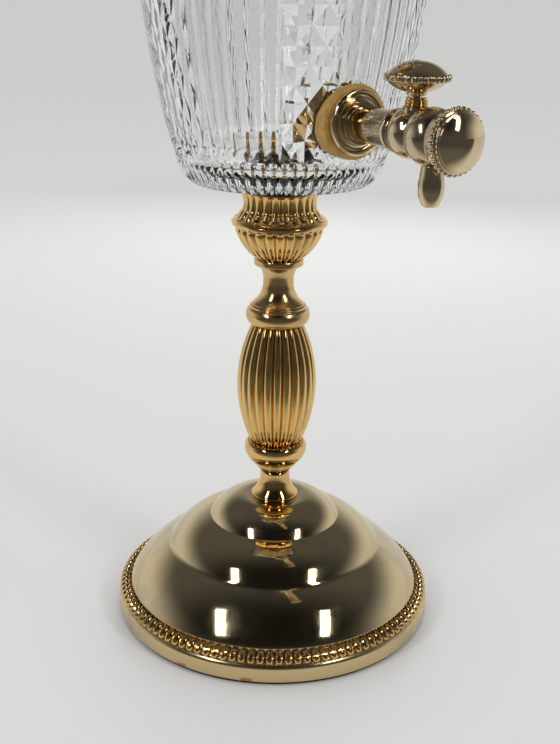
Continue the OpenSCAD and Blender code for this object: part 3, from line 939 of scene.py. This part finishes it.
def rim_beads(name, foot, axis, side, rim, length):
    """A row of round-ended beads round a rim, at a distance along the axis."""
    width = knob_r / 6
    end = (length - width) / 2
    steps = 3
    ball = [(width / 2 * math.sin(math.pi / 2 * k / steps), width / 2 * math.cos(math.pi / 2 * k / steps))
            for k in range(steps + 1)]
    profile = [(r, -h - end) for r, h in ball] + [(r, h + end) for r, h in reversed(ball)]
    middle = foot + (Vector((1, 0, 0)) * (knob_r - 0.05 - width / 2) + axis * rim) * MM
    bead = lathe(name, profile, middle, axis, side, steps=10, closed=False)
    return repeat_round(bead, RIM_BEADS, foot, axis)


def make_knob():
    r = knob_r
    line = [(0, 5), (1.65, 5), (1.65, 0), (3.2, 0), (3.5, 0.3), *bow((3.6, 0.9), (r - 1.2, 4.6), 0.6, 10),
            (r - 0.9, 4.8), (r - 0.9, 6.8), (r - 1.4, 7.3), *bow((r - 1.7, 7.6), (0, 11.4), 1.1, 14)]
    line = ease([(p[0], p[1] + knob_low.z) for p in line], 0.2, False)
    disc = lathe("beaded_knob", line, STEM_AXIS, steps=96, closed=False)
    beads = rim_beads("knob_beads", STEM_AXIS, UP, Vector((0, 1, 0)), knob_low.z + 5.8, 2.6)
    return join("beaded_knob", disc, beads)


def make_cap():
    r = knob_r
    line = [(0, 5), (6.85, 5), (6.85, 0), (8.6, 0), (9.2, 0.5), (r - 1.2, 4.6), (r - 0.9, 4.8),
            (r - 0.9, 6.9), (r - 1.6, 7.2), (r - 1.6, 8.2), (r - 2.2, 8.4), (r - 2.2, 8.7),
            *bow((r - 2.4, 8.8), (0, 11.6), 0.8, 14)]
    line = ease([(p[0], p[1] + cap_at) for p in line], 0.2, False)
    shell = lathe("beaded_cap", line, TAP_AXIS, ALONG_TAP, steps=96, closed=False)
    beads = rim_beads("cap_beads", TAP_AXIS, ALONG_TAP, UP, cap_at + 5.9, 2.4)
    return join("beaded_cap", shell, beads)


def make_bonnet():
    line = [(3.35, -1.6), (3.35, 0), (4.6, 0), (4.6, 0.5), (3.7, 0.8), (4, 1), (4, 1.5), (3.6, 1.8),
            (3.9, 2), (3.9, 2.5), (3.5, 2.8), (3.5, 3.6), (3.3, 3.8), (1.65, 3.8), (1.65, -1.6)]
    return lathe("ringed_bonnet", ease([(r, h + z_boss) for r, h in line], 0.12), STEM_AXIS, steps=64)


def make_spout():
    line = [(1.7, -23), (2.3, -23), (2.9, -22.6), (3.6, -21.3), (4.2, -19.7), (4.5, -17.8),
            (4.5, -15.5), (3.7, -9), (2.95, -9), (2.95, -5.2), (1.7, -5.2)]
    foot = Vector((0, -spout, 0)) * MM
    return lathe("tapered_spout", ease([(r, h + z_tap) for r, h in line], 0.25), foot, steps=64)


settle(make_knob(), tap_gold, "handle", "gold", "knob")
settle(make_cap(), tap_gold, "fountain", "gold", "end_cap")
settle(make_bonnet(), warm_gold, "fountain", "gold", "bonnet")
settle(make_spout(), tap_gold, "fountain", "gold", "nozzle")

# %% [markdown]
# ## Nuts inside the bowl
#
# The domed nut on the rod and the hexagon nut behind the tap show through the glass, so they are
# made again with eased edges. The hexagon starts as a six-sided cylinder, is bevelled, and drilled.

# %% Inner nuts
nut_low = span("bowl_nut")[0]
hex_low, hex_high = span("shank_nut")


def make_domed_nut():
    line = [(0, 4), (3.1, 4), (3.1, 0), (6.6, 0), (7, 0.4), (7, 4.6), *bow((6.2, 5.4), (0, 11), 2.2, 10)]
    line = ease([(p[0], p[1] + nut_low.z) for p in line], 0.3, False)
    return lathe("domed_nut", line, steps=64, closed=False)


def make_hex_nut():
    bpy.ops.object.select_all(action="DESELECT")
    depth = (hex_high.y - hex_low.y) * MM
    bpy.ops.mesh.primitive_cylinder_add(vertices=6, radius=hex_high.x * MM, depth=depth)
    piece = bpy.context.object
    piece.name = piece.data.name = "hex_nut"
    middle = Vector((0, (hex_low.y + hex_high.y) / 2, z_tap)) * MM
    bpy.ops.object.mode_set(mode="EDIT")
    bpy.ops.mesh.select_all(action="SELECT")
    bpy.ops.transform.rotate(value=math.pi / 2, orient_axis="Z", center_override=(0, 0, 0))
    bpy.ops.transform.rotate(value=math.pi / 2, orient_axis="X", center_override=(0, 0, 0))
    bpy.ops.transform.translate(value=middle)
    bpy.ops.mesh.bevel(offset=0.5 * MM, segments=2, affect="EDGES")
    bpy.ops.object.mode_set(mode="OBJECT")
    bore(piece, middle, ALONG_TAP, SHANK_R + 0.05, 20)
    bpy.ops.object.shade_smooth_by_angle(angle=SMOOTH_ANGLE)
    return piece


settle(make_domed_nut(), warm_gold, "fountain", "gold", "bowl_nut")
settle(make_hex_nut(), warm_gold, "fountain", "gold", "shank_nut")

# %% [markdown]
# ## The lid
#
# The photograph ends below the rim, so the lid repeats what can be seen: two mirror-bright tiers
# like the base's, a border of long beads, and a turned finial to lift it by.

# %% Lid and finial
lid_high = span("lid_dome")[1]
collar_low, collar_high = span("lid_collar")
finial_high = span("finial")[1]
z_rim, lid_r, lid_rise = bowl_high.z, lid_high.x, lid_high.z - bowl_high.z
LID_SHEET = 1.4
LID_BEADS = 96
FINIAL_DRAWN = 42


def lid_line(drop, steps):
    mid = lid_rise * 0.5
    tier, top = (bowl_r * 0.64, mid - drop), (8, lid_rise - drop)
    return [(lid_r - 3.5, 2.4 - drop), *bow((lid_r - 3.6, 2.4 - drop), tier, 2.2, steps),
            *bow((bowl_r * 0.62, mid + 0.4 - drop), top, 2.6, steps)]


def make_lid():
    inside = bowl_r - WALL - 3
    under = [p for p in lid_line(LID_SHEET, 6)[::-1] if p[0] < inside]
    hub = [(2.1, lid_rise), (2.1, lid_rise - LID_SHEET)]
    line = [(inside, 1.2), (lid_r, 1.2), (lid_r, 2.4), *lid_line(0, 16), *hub, *under]
    return lathe("tiered_lid", ease([(p[0], p[1] + z_rim) for p in line], 0.35), steps=192)


def make_lid_collar():
    inner, outer = collar_high.x - 1, collar_high.x
    line = [(inner, collar_low.z), (outer, collar_low.z), (outer, collar_high.z), (inner, collar_high.z)]
    return lathe("lid_skirt", ease(line, 0.3), steps=128)


def make_finial():
    k = (finial_high.z - lid_high.z) / FINIAL_DRAWN
    line = [(0, -6), (2, -6), (2, 0), (7, 0), (7, 1.2), (5.6, 2), *hollow((5, 2.4), (3, 5), 0.6, 6),
            (3, 6.2), (5.2, 7), (5.2, 8.2), *bow((3.4, 9.4), (9.8, 19), 1.3, 12),
            *bow((9.8, 20.6), (3.6, 29), 1.2, 12), (3.6, 30.4), (4.6, 31.2), (4.6, 32.4),
            *bow((2.4, 33.6), (0, FINIAL_DRAWN), 0.9, 10)]
    line = [(p[0], lid_high.z + p[1] * (k if p[1] > 0 else 1)) for p in line]
    return lathe("turned_finial", ease(line, 0.25, False), steps=64, closed=False)


lid_strip = [(lid_r - 3.1, z_rim + 2.4), (lid_r - 0.3, z_rim + 2.4), (lid_r - 0.3, z_rim + 2.8),
             (lid_r - 2.7, z_rim + 5.1), (lid_r - 3.1, z_rim + 5.1)]
settle(make_lid(), mirror_gold, "lid", "pale_gold", "lid_dome")
settle(make_lid_collar(), mirror_gold, "lid", "pale_gold", "lid_collar")
settle(make_border("lid_border", LID_BEADS, lid_strip, (lid_r - 1.85, z_rim + 3.85, 3.4, 2.6)),
       mirror_gold, "lid", "gold", "lid_bead_border")
settle(make_finial(), warm_gold, "lid", "gold", "finial")

# %% [markdown]
# ## Solids that stay
#
# Seals, washers, the rod and the valve keep their solids' shapes and only get finishes.

# %% Finishes of the solids
KEPT = {
    felt: ("base_pad",),
    iron: ("ballast_plate",),
    steel: ("rod_washer", "rod_nut", "tie_rod", "spindle", "valve_jumper", "finial_nut"),
    rubber: ("bowl_seat_gasket", "bowl_grommet", "end_cap_seal", "bonnet_packing",
             "valve_washer", "lid_gasket"),
    amber: ("tap_seal_outer", "tap_seal_inner"),
    warm_gold: ("bowl_washer", "shank_washer"),
}
for finish, nodes in KEPT.items():
    for node in nodes:
        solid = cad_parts[node]
        solid.data.materials.clear()
        solid.data.materials.append(finish)
print("solids kept:", sum(len(nodes) for nodes in KEPT.values()))

# %% [markdown]
# ## A pale studio
#
# Polished metal only shows what stands round it. The floor and the backdrop are pale. Two narrow
# soft boxes lean in on the camera's side and draw the bright strips on the dome. Overhead and
# towards the camera the room and the floor fade to dark for rays that metal and glass send there, which
# gives the gold its depth, while on the far side both show the pale backdrop. A little glow, which only the
# camera, metal and glass see, brings the far floor up to the backdrop's level.

# %% Studio
BACKDROP = (0.74, 0.74, 0.735)
FLOOR_COLOUR = (0.72, 0.72, 0.715)
FAR_GLOW = (0.20, 0.20, 0.199)
LOOK_AT = Vector((0, 0, 0.15))
LAMP_DISTANCE = 0.9
DARK_FLOOR = (0.05, 0.28)
GLOW_REACH = (0.2, 1.4)
ROOM_LEVEL = 0.8


def seen_in_object(start):
    """1 for rays that metal or glass sends out, else 0."""
    metal, glass = (start.node("LightPath", out=k) for k in ("Is Glossy Ray", "Is Transmission Ray"))
    return metal.maths("MAXIMUM", metal, glass)


def toward_camera(x, y):
    """How far a place or a direction lies on the camera's side of the stand."""
    return x * -math.sin(CAMERA_HEADING) + y * -math.cos(CAMERA_HEADING)


def add_floor():
    bpy.ops.object.select_all(action="DESELECT")
    bpy.ops.mesh.primitive_plane_add(size=60)
    floor = bpy.context.object
    floor.name = "studio_floor"
    material, bsdf, start = new_finish("floor paper", Roughness=0.8)
    place, (x, y, _) = place_of(start)
    paper = tint(noise(place, 3), FLOOR_COLOUR, tuple(c * 0.98 for c in FLOOR_COLOUR))
    dark = seen_in_object(start) * step_up(toward_camera(x, y), *DARK_FLOOR)
    feed(bsdf, Base_Color=tint(dark * 0.9, paper, (0.05, 0.05, 0.05)))
    distance = start.node("VectorMath", {"operation": "LENGTH"}, {0: place}, out=1)
    shown = start.maths("MAXIMUM", start.node("LightPath", out="Is Camera Ray"), seen_in_object(start))
    glow = step_up(distance, *GLOW_REACH) * shown * (1 - dark)
    feed(bsdf, Emission_Color=tint(glow, (0, 0, 0), FAR_GLOW))
    bsdf.inputs["Emission Strength"].default_value = 1.0
    floor.data.materials.append(material)


def add_light(name, heading, height, roll, size, power, shows=True):
    """A soft box at a heading from the tap, a height and a roll, all in degrees."""
    lamp = bpy.data.lights.new(name, "AREA")
    lamp.shape = "RECTANGLE"
    lamp.size, lamp.size_y = size
    lamp.energy = power
    light = bpy.data.objects.new(name, lamp)
    scene.collection.objects.link(light)
    turn, lift = math.radians(heading), math.radians(height)
    aim = Vector((math.sin(turn) * math.cos(lift), -math.cos(turn) * math.cos(lift), math.sin(lift)))
    light.location = LOOK_AT + aim * LAMP_DISTANCE
    turned = aim.to_track_quat("Z", "Y").to_matrix() @ Matrix.Rotation(math.radians(roll), 3, "Z")
    light.rotation_euler = turned.to_euler()
    light.visible_glossy = light.visible_transmission = shows


def light_world():
    """A pale room; for metal and glass it fades to dark overhead and behind the camera."""
    world = bpy.data.worlds.new("studio")
    scene.world = world
    world.use_nodes = True
    shade = world.node_tree.nodes["Background"]
    start = Wire(world.node_tree)
    by_camera = start.node("LightPath", out="Is Camera Ray")
    _, (x, y, z) = place_of(start)
    light = (1 - step_up(toward_camera(x, y), -0.35, 0.5) * 0.9) * (1 - step_up(z, 0.15, 0.6) * 0.85)
    shade.inputs["Color"].default_value = (*BACKDROP, 1)
    feed(shade, Strength=ROOM_LEVEL + by_camera * 0.05 + seen_in_object(start) * (light - ROOM_LEVEL))


add_floor()
light_world()
add_light("left_strip", -78.7, 35.5, 29, (0.10, 0.42), 1.5)
add_light("right_strip", 17.4, 36, -30, (0.10, 0.42), 1.5)
add_light("overhead", 150, 82, 0, (0.9, 0.9), 2.5, False)
add_light("back", 144, 23, 0, (0.5, 0.5), 1.7, False)
scene.view_settings.view_transform = "Standard"
print("lights: 4")
